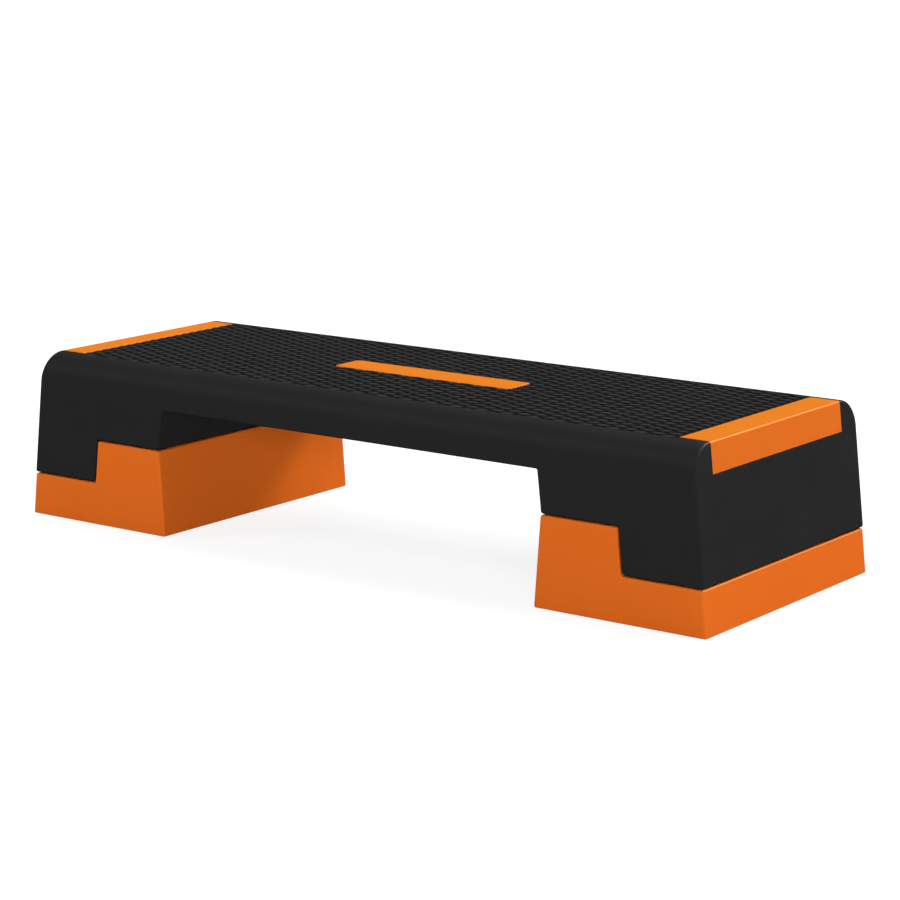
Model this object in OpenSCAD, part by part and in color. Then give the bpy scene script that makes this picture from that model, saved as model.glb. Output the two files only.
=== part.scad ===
// Aerobic step platform: a wide, low deck that stands on two loose, stepped risers.
// The floor is z = 0. X runs along the length, Y across the width, and the origin is
// the middle of the footprint. The deck's ends nest in the risers' steps. A riser can be
// lifted away, or turned end for end, so the deck has three working heights.

/* [Platform] */
// Length of the footprint on the floor
platform_length = 960; // [860:1:1100]
// Width of the footprint on the floor
platform_width = 344.6; // [300:0.2:420]
// Height of the deck's top above the floor, on both risers
platform_height = 200; // [180:1:230]
// Lean of both end faces towards the middle, in degrees
end_lean = 6.3; // [0:0.1:8]
// Lean of the long sides towards the middle, in degrees
side_lean = 0.3; // [0:0.1:2]

/* [Deck shell] */
// Radius of the deck's two long top edges
edge_radius = 33; // [20:1:40]
// Radius of the edge round each end face
fold_radius = 3; // [1:0.5:6]
// Thickness of the side and end walls
deck_wall = 4; // [3:0.5:6]
// Thickness of the top, before the tread recess is cut in it
top_wall = 6; // [4.5:0.5:9]
// Distance that the deck's end faces stand out past the risers'
end_overhang = 1; // [0:0.1:2]
// Depth of the long sides over the arch, from the top down
skirt_depth = 47.9; // [40:0.1:60]
// Lean of the legs' inner faces, in degrees
arch_lean = 6.8; // [0:0.1:10]
// Radius of the arch's two upper corners
arch_radius = 2.5; // [1:0.5:12]
// Distance of a leg's foot edge from the riser's inner top edge
leg_setback = 0.5; // [0.5:0.5:4]

/* [Ribs] */
// Thickness of the ribs in the deck and the risers
rib_thickness = 3; // [2:0.5:4]
// Height of the ribs' lower edges above the rim that they stiffen
rib_setback = 4; // [3:0.5:8]
// Number of ribs that run the deck's whole length
long_ribs = 4; // [4:1:6]
// Number of cross ribs between the legs
span_ribs = 7; // [7:1:11]

/* [Risers] */
// Length of one riser on the floor
riser_length = 215.6; // [190:0.2:250]
// Height of the riser's low top
riser_low = 51.7; // [45:0.1:60]
// Height of the riser's tall top
riser_tall = 103.4; // [90:0.1:115]
// Thickness of the riser's walls and tops
riser_wall = 4; // [3:0.5:6]
// Lean of the riser's inner face, in degrees
riser_lean = 4.1; // [0:0.1:8]
// Lean of the face between the two tops, in degrees
step_lean = 6.1; // [0:0.1:10]
// Distance of that face's middle from the riser's middle, towards the inner face
step_shift = 0.7; // [0:0.1:5]
// Radius in the corner at the foot of that face, and on the leg that stands there
step_radius = 5; // [2:0.5:8]
// Radius of the riser's upright and top edges
riser_radius = 2; // [1:0.5:3.5]

/* [Seating] */
// Gap between the deck's rims and the riser that carries it
seat_gap = 1.2; // [0.6:0.1:2]
// Depth of the round sockets in the riser's tops
socket_depth = 3; // [2:0.5:6]
// Clearance round a deck foot in its socket
socket_clearance = 0.5; // [0.3:0.1:1]
// Distance of the deck feet from the long sides
deck_foot_inset = 43; // [36:1:50]

/* [Rubber feet] */
// Diameter of a deck foot
deck_foot_diameter = 30; // [22:1:34]
// Diameter of a riser foot
floor_foot_diameter = 24; // [20:1:28]
// Distance that the riser feet stand out below the riser's rim
floor_stand = 1; // [0.5:0.5:3]
// Distance of the riser feet from the riser's sides
floor_foot_inset = 26; // [22:1:30]
// Depth that a foot is sunk above the rim round it
foot_sink = 2; // [1:0.5:3]
// Diameter of a foot's stem
stem_diameter = 10; // [6:0.5:12]
// Length of a foot's stem
stem_length = 12; // [8:1:20]
// Clearance between a stem and its bore, all round
stem_clearance = 0.1; // [0.05:0.05:0.3]
// Wall of the tube that holds a stem
boss_wall = 4; // [3:0.5:5]

/* [Top trim] */
// Thickness of the tread mat, the end strips and the centre inlay
trim_thickness = 2; // [1:0.25:3]
// Clearance round each of them
trim_clearance = 0.3; // [0.2:0.1:0.6]
// Distance of the tread mat's long edges from the platform's sides
tread_margin = 31.3; // [24:0.1:44]
// Distance of the end strips' ends from the platform's sides
strip_margin = 35.8; // [26:0.1:46]
// Run of an end strip along the top, in from the end face
strip_run = 37.1; // [30:0.1:60]
// Drop of an end strip down the end face
strip_drop = 34.2; // [20:0.1:60]
// Length of the centre inlay
inlay_length = 252; // [160:1:320]
// Width of the centre inlay
inlay_width = 45.8; // [30:0.2:80]
// Corner radius of the centre inlay
inlay_radius = 11; // [2:1:14]

/* [Hidden] */
$fn = 48;
ARC_STEPS = 12;
HIDDEN_ARC_STEPS = 5;
FOLD_STEPS = 5;
CUT = 1;
BLACK = [0.13, 0.13, 0.135];
RUBBER = [0.08, 0.08, 0.08];
ORANGE = [0.87, 0.42, 0.12];

// Heights above the floor
deck_rim_low = riser_low + seat_gap;
deck_rim_high = riser_tall + seat_gap;
arch_height = platform_height - skirt_depth;
deck_foot_seat = deck_rim_low + foot_sink;
deck_foot_base = riser_low - socket_depth;
floor_foot_seat = floor_stand + foot_sink;
trim_floor = platform_height - trim_thickness;
step_middle_height = (riser_low + riser_tall) / 2;

// Places along the length
riser_middle = (platform_length - riser_length) / 2;
socket_offset = riser_length / 4;
tread_end =
    platform_length / 2 + end_overhang - platform_height * tan(end_lean) - strip_run;

// Places across the width
deck_foot_y = platform_width / 2 - deck_foot_inset;
floor_foot_y = platform_width / 2 - floor_foot_inset;
floor_foot_x = riser_length / 2 - floor_foot_inset;
tread_half_width = platform_width / 2 - tread_margin;
strip_half_width = platform_width / 2 - strip_margin;

// Parts of the feet and their holders
socket_diameter = deck_foot_diameter + 2 * socket_clearance;
bore_diameter = stem_diameter + 2 * stem_clearance;
boss_diameter = bore_diameter + 2 * boss_wall;

// Faces that lean: their place at a height z, on the right half
function end_x(z) = platform_length / 2 - z * tan(end_lean);
function deck_end_x(z) = end_x(z) + end_overhang;
function side_y(z) = platform_width / 2 - z * tan(side_lean);
function riser_inner_x(z) = platform_length / 2 - riser_length + z * tan(riser_lean);
function step_x(z) =
    riser_middle - step_shift + (step_middle_height - z) * tan(step_lean);
function leg_inner_x(z) =
    riser_inner_x(riser_tall) + leg_setback - (z - deck_rim_high) * tan(arch_lean);

// The points of an outline whose corners [x, y, radius] are rounded
function unit(v) = v / norm(v);
function flat(lists) = [for (l = lists) for (v = l) v];
function corner(a, b, c, steps) =
    b[2] == 0 ? [[b[0], b[1]]] :
    let (
        p = [b[0], b[1]],
        u = unit([a[0], a[1]] - p),
        v = unit([c[0], c[1]] - p),
        half = acos(u * v) / 2,
        centre = p + unit(u + v) * b[2] / sin(half),
        from = p + u * b[2] / tan(half) - centre,
        start = atan2(from[1], from[0]),
        turn = (180 - 2 * half) * sign(u[1] * v[0] - u[0] * v[1])
    )
    [for (i = [0 : steps])
        let (angle = start + turn * i / steps)
        centre + b[2] * [cos(angle), sin(angle)]];
function rounded(points, steps = ARC_STEPS) =
    let (n = len(points))
    flat([for (i = [0 : n - 1])
        corner(points[(i + n - 1) % n], points[i], points[(i + 1) % n], steps)]);
function mirrored(points) =
    [for (i = [len(points) - 1 : -1 : 0]) [-points[i][0], points[i][1], points[i][2]]];

// The deck's cross-section in Y and Z, drawn in from its side and top faces
function deck_section(side, top, bottom, steps = ARC_STEPS) =
    let (
        high = platform_height - top,
        right = [[side_y(bottom) - side, bottom, 0],
                 [side_y(high) - side, high, max(edge_radius - side, 1)]]
    )
    rounded(concat(right, mirrored(right)), steps);

// The space below the deck in X and Z: the arch, and the stepped rims of the legs
function under_deck_outline() =
    let (
        reach = platform_length,
        right = [[reach, -CUT, 0],
                 [reach, deck_rim_low, 0],
                 [step_x(deck_rim_low) + seat_gap, deck_rim_low, step_radius],
                 [step_x(deck_rim_high) + seat_gap, deck_rim_high, riser_radius],
                 [leg_inner_x(deck_rim_high), deck_rim_high, 0],
                 [leg_inner_x(arch_height), arch_height, arch_radius]]
    )
    rounded(concat(right, mirrored(right)));

// The right riser in X and Z, drawn in from its faces and cut off level at the bottom
function riser_outline(inset, bottom) = [
    [riser_inner_x(bottom) + inset, bottom],
    [riser_inner_x(riser_tall - inset) + inset, riser_tall - inset],
    [step_x(riser_tall - inset) - inset, riser_tall - inset],
    [step_x(riser_low - inset) - inset, riser_low - inset],
    [end_x(riser_low - inset) - inset, riser_low - inset],
    [end_x(bottom) - inset, bottom]
];

// The fold of the deck's top into its end face, from the top down
function fold_points() =
    [for (i = [0 : FOLD_STEPS])
        let (
            angle = 90 * i / FOLD_STEPS,
            z = platform_height - fold_radius * (1 - cos(angle))
        )
        [deck_end_x(z) - fold_radius * (1 - sin(angle)), z]];

// An outline in X and Z carried across the width
module across(width) {
    rotate([90, 0, 0]) linear_extrude(width, center = true) children();
}

// An outline in Y and Z carried along the length
module along(length) {
    rotate([90, 0, 90]) linear_extrude(length, center = true) children();
}

module on_both_ends() {
    children();
    mirror([1, 0, 0]) children();
}

module on_both_sides() {
    children();
    mirror([0, 1, 0]) children();
}

// A solid through a row of rings with equal numbers of points. The first ring runs
// anticlockwise as seen from beyond it
module loft(rings) {
    n = len(rings[0]);
    last = len(rings) - 1;
    sides = [for (k = [0 : last - 1]) for (i = [0 : n - 1])
        [k * n + i, k * n + (i + 1) % n, (k + 1) * n + (i + 1) % n, (k + 1) * n + i]];
    caps = [[for (i = [n - 1 : -1 : 0]) i], [for (i = [0 : n - 1]) last * n + i]];
    polyhedron(flat(rings), concat(sides, caps));
}

// A ring round the deck's right end, one of the steps of its rounded edge
function deck_ring(i) =
    let (
        angle = 90 * i / FOLD_STEPS,
        inset = fold_radius * (1 - sin(angle)),
        depth = fold_radius * (1 - cos(angle))
    )
    [for (p = deck_section(inset, inset, deck_rim_low))
        [deck_end_x(p[1]) - depth, p[0], p[1]]];

// The deck as a solid block with leaning ends and a rounded edge round each end face
module deck_block() {
    right = [for (i = [0 : FOLD_STEPS]) deck_ring(i)];
    left = [for (i = [FOLD_STEPS : -1 : 0]) [for (p = deck_ring(i)) [-p[0], p[1], p[2]]]];
    loft(concat(right, left));
}

// The room that the deck's walls leave, drawn in from its faces
module deck_room(side, top, bottom) {
    high = platform_height - top;
    intersection() {
        along(platform_length)
            polygon(deck_section(side, top, bottom, HIDDEN_ARC_STEPS));
        across(platform_width)
            polygon([[deck_end_x(bottom) - side, bottom], [deck_end_x(high) - side, high],
                     [side - deck_end_x(high), high], [side - deck_end_x(bottom), bottom]]);
    }
}

module under_deck() {
    across(platform_width + 2 * CUT) polygon(under_deck_outline());
}

// The legs' inner walls and step walls, which reach up to the deck's top
module leg_walls() {
    on_both_ends()
        across(platform_width) {
            polygon([
                [leg_inner_x(deck_rim_high), deck_rim_high],
                [leg_inner_x(platform_height), platform_height],
                [leg_inner_x(platform_height) + deck_wall, platform_height],
                [leg_inner_x(deck_rim_high) + deck_wall, deck_rim_high]
            ]);
            polygon([
                [step_x(deck_rim_low) + seat_gap, deck_rim_low],
                [step_x(platform_height) + seat_gap, platform_height],
                [step_x(platform_height) + seat_gap + deck_wall, platform_height],
                [step_x(deck_rim_low) + seat_gap + deck_wall, deck_rim_low]
            ]);
        }
}

module cross_rib(x) {
    translate([x - rib_thickness / 2, -platform_width / 2, deck_rim_low])
        cube([rib_thickness, platform_width, platform_height - deck_rim_low]);
}

module deck_ribs() {
    span_pitch = 2 * leg_inner_x(platform_height) / (span_ribs + 1);
    long_pitch = (platform_width - 2 * deck_wall) / (long_ribs + 1);
    for (i = [1 : span_ribs])
        cross_rib(span_pitch * (i - (span_ribs + 1) / 2));
    on_both_ends() {
        cross_rib(riser_middle - socket_offset);
        cross_rib(riser_middle + socket_offset);
    }
    for (i = [1 : long_ribs])
        translate([-platform_length / 2,
                   long_pitch * (i - (long_ribs + 1) / 2) - rib_thickness / 2,
                   deck_rim_low])
            cube([platform_length, rib_thickness, platform_height - deck_rim_low]);
}

module at_deck_feet() {
    on_both_ends() on_both_sides()
        translate([riser_middle + socket_offset, -deck_foot_y, 0]) children();
}

module end_strip_outline(clearance) {
    bottom = platform_height - strip_drop - clearance;
    back = trim_thickness;
    out = clearance > 0 ? CUT : 0;
    over = clearance > 0 ? [[tread_end, platform_height + CUT],
                            [deck_end_x(0) + CUT, platform_height + CUT],
                            [deck_end_x(0) + CUT, bottom]]
                         : concat([[tread_end, platform_height]], fold_points(),
                                  [[deck_end_x(bottom), bottom]]);
    polygon(concat(over, [[deck_end_x(bottom) - back, bottom],
                          [deck_end_x(trim_floor) - back, trim_floor],
                          [tread_end - out, trim_floor]]));
}

// The shallow recess in the deck's top and ends that the tread and the strips lie in
module trim_recess() {
    translate([-tread_end, -tread_half_width - trim_clearance, trim_floor])
        cube([2 * tread_end, 2 * (tread_half_width + trim_clearance),
              trim_thickness + CUT]);
    on_both_ends()
        across(2 * (strip_half_width + trim_clearance)) end_strip_outline(trim_clearance);
}

module deck_shell() {
    color(BLACK)
        difference() {
            union() {
                difference() {
                    deck_block();
                    deck_room(deck_wall, top_wall, deck_rim_low - CUT);
                }
                intersection() {
                    deck_room(deck_wall / 2, top_wall / 2, deck_rim_low);
                    leg_walls();
                }
                difference() {
                    intersection() {
                        deck_room(deck_wall / 2, top_wall / 2, deck_rim_low);
                        deck_ribs();
                    }
                    translate([0, 0, rib_setback]) under_deck();
                }
                at_deck_feet()
                    translate([0, 0, deck_foot_seat])
                        cylinder(d = boss_diameter,
                                 h = platform_height - top_wall / 2 - deck_foot_seat);
            }
            under_deck();
            trim_recess();
            at_deck_feet()
                translate([0, 0, deck_foot_seat - CUT])
                    cylinder(d = bore_diameter,
                             h = platform_height - top_wall - deck_foot_seat + CUT);
        }
}

module inlay_outline(grow) {
    x = inlay_length / 2 + grow;
    y = inlay_width / 2 + grow;
    r = inlay_radius + grow;
    polygon(rounded([[x, y, r], [-x, y, r], [-x, -y, r], [x, -y, r]]));
}

module tread_mat() {
    color(BLACK)
        translate([0, 0, trim_floor])
            linear_extrude(trim_thickness)
                difference() {
                    square([2 * (tread_end - trim_clearance), 2 * tread_half_width],
                           center = true);
                    inlay_outline(trim_clearance);
                }
}

module centre_inlay() {
    color(ORANGE)
        translate([0, 0, trim_floor]) linear_extrude(trim_thickness) inlay_outline(0);
}

module right_end_strip() {
    color(ORANGE) across(2 * strip_half_width) end_strip_outline(0);
}

module left_end_strip() {
    mirror([1, 0, 0]) right_end_strip();
}

// A rubber foot with its pad from z = 0 up, and a stem that plugs into a tube above
module rubber_foot(diameter, height) {
    bevel = 1;
    tip = 1.5;
    pad = diameter / 2;
    stem = stem_diameter / 2;
    top = height + stem_length;
    color(RUBBER)
        rotate_extrude()
            polygon([[0, 0], [pad - bevel, 0], [pad, bevel], [pad, height],
                     [stem, height], [stem, top - tip], [stem - tip, top], [0, top]]);
}

module deck_foot(end, side) {
    translate([end * (riser_middle + socket_offset), side * deck_foot_y,
               deck_foot_base])
        rubber_foot(deck_foot_diameter, deck_foot_seat - deck_foot_base);
}

// A ring round the riser at height z, with its four upright edges rounded
function riser_ring(z, inset) =
    let (
        x1 = riser_inner_x(z) + inset,
        x2 = end_x(z) - inset,
        y = side_y(z) - inset,
        r = riser_radius
    )
    [for (p = rounded([[x2, y, r], [x1, y, r], [x1, -y, r], [x2, -y, r]]))
        [p[0], p[1], z]];

// The riser before its step is cut: one block, rounded on its upright and top edges
module riser_block() {
    edge = [for (i = [0 : FOLD_STEPS])
        let (angle = 90 * i / FOLD_STEPS)
        riser_ring(riser_tall - riser_radius * (1 - cos(angle)),
                   riser_radius * (1 - sin(angle)))];
    loft(concat(edge, [riser_ring(floor_stand, 0)]));
}

module riser_step() {
    high = riser_tall + CUT;
    far = end_x(0) + CUT;
    across(platform_width + 2 * CUT)
        polygon(rounded([[step_x(riser_low), riser_low, step_radius],
                         [far, riser_low, 0], [far, high, 0],
                         [step_x(high), high, 0]]));
}

module riser_ribs() {
    base = floor_stand + rib_setback;
    inner_width = platform_width - riser_wall - 2 * side_y(0) + 2 * side_y(riser_tall);
    long_pitch = (platform_width - 2 * riser_wall) / 5;
    for (i = [-1.5 : 1 : 1.5])
        translate([0, i * long_pitch, 0])
            across(rib_thickness) polygon(riser_outline(riser_wall / 2, base));
    translate([step_x(riser_low) - riser_wall, -inner_width / 2, base])
        cube([riser_wall, inner_width, riser_low - riser_wall / 2 - base]);
    for (top = [[-socket_offset, riser_tall], [socket_offset, riser_low]])
        translate([riser_middle + top[0] - rib_thickness / 2, -inner_width / 2, base])
            cube([rib_thickness, inner_width, top[1] - riser_wall / 2 - base]);
}

// The two sockets on the tall top and the two on the low top, as [x, y, top height]
function socket_places() =
    [for (top = [[-socket_offset, riser_tall], [socket_offset, riser_low]])
        for (side = [-1, 1])
            [riser_middle + top[0], side * deck_foot_y, top[1]]];

// The four feet below the riser, as [x, y, height of the top above them]
function floor_foot_places() =
    [for (top = [[-floor_foot_x, riser_tall], [floor_foot_x, riser_low]])
        for (side = [-1, 1])
            [riser_middle + top[0], side * floor_foot_y, top[1]]];

module riser() {
    color(ORANGE)
        difference() {
            union() {
                difference() {
                    riser_block();
                    riser_step();
                    across(platform_width - 2 * riser_wall)
                        polygon(riser_outline(riser_wall, floor_stand - CUT));
                }
                riser_ribs();
                for (p = socket_places())
                    translate([p[0], p[1], p[2] - socket_depth - riser_wall])
                        cylinder(d = socket_diameter + 2 * riser_wall,
                                 h = socket_depth + riser_wall / 2);
                for (p = floor_foot_places())
                    translate([p[0], p[1], floor_foot_seat])
                        cylinder(d = boss_diameter,
                                 h = p[2] - riser_wall / 2 - floor_foot_seat);
            }
            for (p = socket_places())
                translate([p[0], p[1], p[2] - socket_depth])
                    cylinder(d = socket_diameter, h = socket_depth + CUT);
            for (p = floor_foot_places())
                translate([p[0], p[1], floor_foot_seat - CUT])
                    cylinder(d = bore_diameter,
                             h = p[2] - riser_wall - floor_foot_seat + CUT);
        }
}

module right_riser() {
    riser();
}

module left_riser() {
    rotate([0, 0, 180]) riser();
}

module riser_foot(end, along, side) {
    translate([end * (riser_middle + along * floor_foot_x), side * floor_foot_y, 0])
        rubber_foot(floor_foot_diameter, floor_foot_seat);
}

deck_shell();
tread_mat();
centre_inlay();
left_end_strip();
right_end_strip();
deck_foot(-1, -1);  // deck_foot_front_left
deck_foot(1, -1);  // deck_foot_front_right
deck_foot(-1, 1);  // deck_foot_back_left
deck_foot(1, 1);  // deck_foot_back_right
left_riser();
right_riser();
riser_foot(-1, 1, -1);  // left_riser_foot_front_outer
riser_foot(-1, -1, -1);  // left_riser_foot_front_inner
riser_foot(-1, 1, 1);  // left_riser_foot_back_outer
riser_foot(-1, -1, 1);  // left_riser_foot_back_inner
riser_foot(1, 1, -1);  // right_riser_foot_front_outer
riser_foot(1, -1, -1);  // right_riser_foot_front_inner
riser_foot(1, 1, 1);  // right_riser_foot_back_outer
riser_foot(1, -1, 1);  // right_riser_foot_back_inner
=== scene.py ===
import math

import bmesh
import bpy
from mathutils import Matrix, Vector


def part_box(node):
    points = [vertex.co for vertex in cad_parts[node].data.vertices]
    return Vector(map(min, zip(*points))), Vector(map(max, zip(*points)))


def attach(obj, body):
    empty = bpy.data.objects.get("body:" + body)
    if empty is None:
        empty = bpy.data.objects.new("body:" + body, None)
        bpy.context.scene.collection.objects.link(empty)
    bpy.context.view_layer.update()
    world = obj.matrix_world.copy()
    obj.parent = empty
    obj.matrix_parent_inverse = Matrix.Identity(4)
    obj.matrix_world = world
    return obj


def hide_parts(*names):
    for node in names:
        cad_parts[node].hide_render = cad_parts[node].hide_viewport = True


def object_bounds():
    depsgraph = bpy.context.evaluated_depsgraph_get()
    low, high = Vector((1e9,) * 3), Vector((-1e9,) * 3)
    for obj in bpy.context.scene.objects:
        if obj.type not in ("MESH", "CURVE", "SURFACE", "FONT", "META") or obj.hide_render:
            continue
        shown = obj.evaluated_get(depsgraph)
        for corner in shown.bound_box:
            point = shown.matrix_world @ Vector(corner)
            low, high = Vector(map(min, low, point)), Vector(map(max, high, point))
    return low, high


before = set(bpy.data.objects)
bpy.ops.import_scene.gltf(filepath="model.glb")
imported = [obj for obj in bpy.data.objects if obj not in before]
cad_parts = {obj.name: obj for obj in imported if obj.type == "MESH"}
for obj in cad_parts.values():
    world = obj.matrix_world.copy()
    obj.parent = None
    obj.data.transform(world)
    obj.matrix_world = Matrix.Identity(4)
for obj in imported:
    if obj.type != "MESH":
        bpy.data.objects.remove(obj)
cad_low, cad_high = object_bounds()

bl_info = {
    "name": "Aerobic Step Platform",
    "version": (1, 0, 0),
    "blender": (4, 5, 0),
    "location": "3D View > Sidebar > Step Platform",
    "description": "Builds a step platform's deck, tread, trim, risers, feet and stage",
    "category": "Object",
}

CORNER_STEPS = 10  # facets in the arc of a rounded corner
LONG_EDGE_STEPS = 26  # facets in the arc of the deck's long rounded edges
EDGE_STEPS = 5  # facets across a rounded edge
TURN_STEPS = 64  # facets round a turned part
TRIM_STEPS = 3  # facets across the trim's small rounded edges
SHARP = math.radians(30)  # edges sharper than this are rounded, or stay crisp
WELD = 1e-7  # points nearer than this are one point
MICRONS = 1e6  # micrometres in a metre
CUT = 0.001  # how far a cutting solid reaches past what it cuts
SKIM = 0.00005  # the least depth that a cutting solid takes off a face beside it
RISER_RIBS = 4  # long ribs in a riser
RISER_STEP = 2  # number of the riser outline's face that is its step
WHITE = (1.0, 1.0, 1.0, 1.0)
FLOOR_REACH = 30.0  # how far the floor reaches from the middle, each way
FLOOR_SHOWN = 0.6  # share of the floor's colour under the glow that the camera sees
LAMP_DISTANCE = 4.0  # how far the lamps stand from the middle of the footprint

# Rubber feet: radii under a foot, as shares of its pad's radius, and sizes in edge radii
DIMPLE = 0.22  # the dimple in the middle
RINGS = (0.42, 0.66)  # the middle of each ring groove
RING_HALF = 0.05  # half the width of a ring groove
LIP = 0.3  # the pad's upper bevel, in edge radii
TIP = 1.25  # the bevel at the stem's point, in edge radii

# Each lamp's place and strength, and its azimuth, elevation and apparent size in degrees
LAMPS = {
    "key": ("lamp behind, on the right", 1.2, 135, 35, 14),
    "fill": ("lamp in front, on the left", 0.7, -48.7, 39, 14),
    "front": ("low lamp beside the camera", 2.5, 42, 6, 25),
    "top": ("broad lamp overhead", 1.9, 180, 70, 40),
    "rim": ("lamp behind, on the left", 0.45, -139, 28, 20),
    "glint": ("lamp that only glossy faces mirror", 18, 162, 36, 10),
}


def distance(name, description, default):
    return bpy.props.FloatProperty(name=name, description=description, default=default,
                                   min=0, precision=4, unit="LENGTH", subtype="DISTANCE")


def angle(name, description, degrees):
    return bpy.props.FloatProperty(name=name, description=description, subtype="ANGLE",
                                   default=math.radians(degrees), precision=2)


def colour(name, description, default):
    return bpy.props.FloatVectorProperty(name=name, description=description, size=3,
                                         default=default, min=0, max=1, subtype="COLOR")


def level(name, description, default):
    return bpy.props.FloatProperty(name=name, description=description, default=default,
                                   min=0, soft_max=10)


def count(name, description, default):
    return bpy.props.IntProperty(name=name, description=description, default=default, min=1)


def pointer(kind, name):
    return bpy.props.PointerProperty(type=kind, name=name, description=kind.__doc__)


def reach(node, side):
    """The lowest corner of a packed node with side 0, the highest with side 1"""
    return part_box(node)[side]


def centre(node):
    """The middle of a packed node's box"""
    low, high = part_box(node)
    return (low + high) / 2


class StepPlatformSizes(bpy.types.PropertyGroup):
    """Sizes that all the pieces share"""
    length: distance("Length", "Length of the footprint on the floor", 0.960)
    width: distance("Width", "Width of the footprint on the floor", 0.3446)
    height: distance("Height", "Height of the deck's top above the floor", cad_high.z)
    end_lean: angle("End lean", "Lean of both end faces towards the middle", 6.3)
    side_lean: angle("Side lean", "Lean of the long sides towards the middle", 0.3)
    seat_gap: distance("Seat gap", "Gap between the deck's rims and the risers", 0.0012)
    step_gap: distance("Step gap", "Gap between a leg's step and the riser's", 0.0022)


class StepDeckSizes(bpy.types.PropertyGroup):
    """Sizes of the deck's moulding"""
    end_overhang: distance("End overhang", "How far the ends stand past the risers'", 0.001)
    edge_radius: distance("Edge radius", "Radius of the two long top edges", 0.033)
    fold_radius: distance("Fold radius", "Radius of the edge round each end face", 0.003)
    rim_radius: distance("Rim radius", "Radius of the outer edge along the rims", 0.003)
    upright_radius: distance("Upright radius", "Radius of the legs' upright edges", 0.003)
    wall: distance("Wall", "Thickness of the side and end walls", 0.004)
    top_wall: distance("Top wall", "Thickness of the top before it is recessed", 0.006)
    skirt_depth: distance("Skirt depth", "Depth of the long sides over the arch", 0.0479)
    arch_lean: angle("Arch lean", "Lean of the legs' inner faces", 6.8)
    arch_radius: distance("Arch radius", "Radius of the arch's upper corners", 0.0025)
    leg_setback: distance("Leg setback", "From a leg's foot edge to the riser's", 0.0005)
    rib_thickness: distance("Rib thickness", "Thickness of the ribs underneath", 0.003)
    rib_setback: distance("Rib setback", "How far the ribs end above the rims", 0.004)
    long_ribs: count("Long ribs", "Number of ribs that run the whole length", 4)
    span_ribs: count("Cross ribs", "Number of cross ribs between the legs", 7)


class StepRiserSizes(bpy.types.PropertyGroup):
    """Sizes of the two risers"""
    length: distance("Length", "Length of one riser on the floor", 0.2156)
    low: distance("Low top", "Height of the low top", 0.0517)
    tall: distance("Tall top", "Height of the tall top", reach("right_riser", 1).z)
    stand: distance("Stand", "Height of the rim above the floor", reach("right_riser", 0).z)
    wall: distance("Wall", "Thickness of the walls and tops", 0.004)
    inner_lean: angle("Inner lean", "Lean of the riser's inner face", 4.1)
    step_lean: angle("Step lean", "Lean of the face between the two tops", 6.1)
    step_shift: distance("Step shift", "How far inwards of its middle the step is", 0.0007)
    step_radius: distance("Step radius", "Radius at the foot of the step", 0.005)
    step_edge: distance("Step edge", "Radius of the edges beside and above the step", 0.001)
    edge_radius: distance("Edge radius", "Radius of a riser's other top edges", 0.0028)
    rim_radius: distance("Rim radius", "Radius of the edges along the rim", 0.002)
    upright_radius: distance("Upright radius", "Radius of the upright corners", 0.003)
    socket_depth: distance("Socket depth", "Depth of the sockets for deck feet", 0.003)
    socket_room: distance("Socket clearance", "Clearance round a deck foot", 0.0005)


class StepTreadSizes(bpy.types.PropertyGroup):
    """Sizes of the tread mat and its pads"""
    column: distance("Column spacing", "From one column of pads to the next", 0.0170262)
    pitch: distance("Pad pitch", "From one pad to the next in a column", 0.0143654)
    tip: distance("Pad half length", "From a pad's middle to its tip", 0.0157)
    relief: distance("Relief", "Height of the pads above the grooves", 0.0009)
    groove: distance("Groove", "Half the width of a groove at its bottom", 0.0016)
    slope: distance("Slope", "Width of a pad's sloping side", 0.0003)
    round_over: distance("Round-over", "Width of a pad's rise from edge to top", 0.0033)
    crown: distance("Crown", "Height of a pad's top above its edge", 0.0004)


class StepTrimSizes(bpy.types.PropertyGroup):
    """Sizes of the orange trim on top"""
    thickness: distance("Thickness", "Thickness of the mat, strips and inlay", 0.002)
    clearance: distance("Clearance", "Clearance round the mat, strips and inlay", 0.0003)
    edge_radius: distance("Edge radius", "Radius of the trim's edges", 0.0004)
    inlay_radius: distance("Inlay corners", "Corner radius of the centre inlay", 0.0065)


class StepFootSizes(bpy.types.PropertyGroup):
    """Sizes of the rubber feet"""
    edge_radius: distance("Edge radius", "Radius of a foot's lower edge", 0.0012)
    stem_diameter: distance("Stem diameter", "Diameter of a foot's stem", 0.010)
    stem_clearance: distance("Stem clearance", "Clearance round a stem", 0.0001)
    tube_wall: distance("Tube wall", "Wall of the tube that holds a stem", 0.004)
    sink: distance("Sink", "Depth that a foot is sunk above the rim", 0.002)
    ring_depth: distance("Ring depth", "Depth of the ring grooves underneath", 0.0004)


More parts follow.
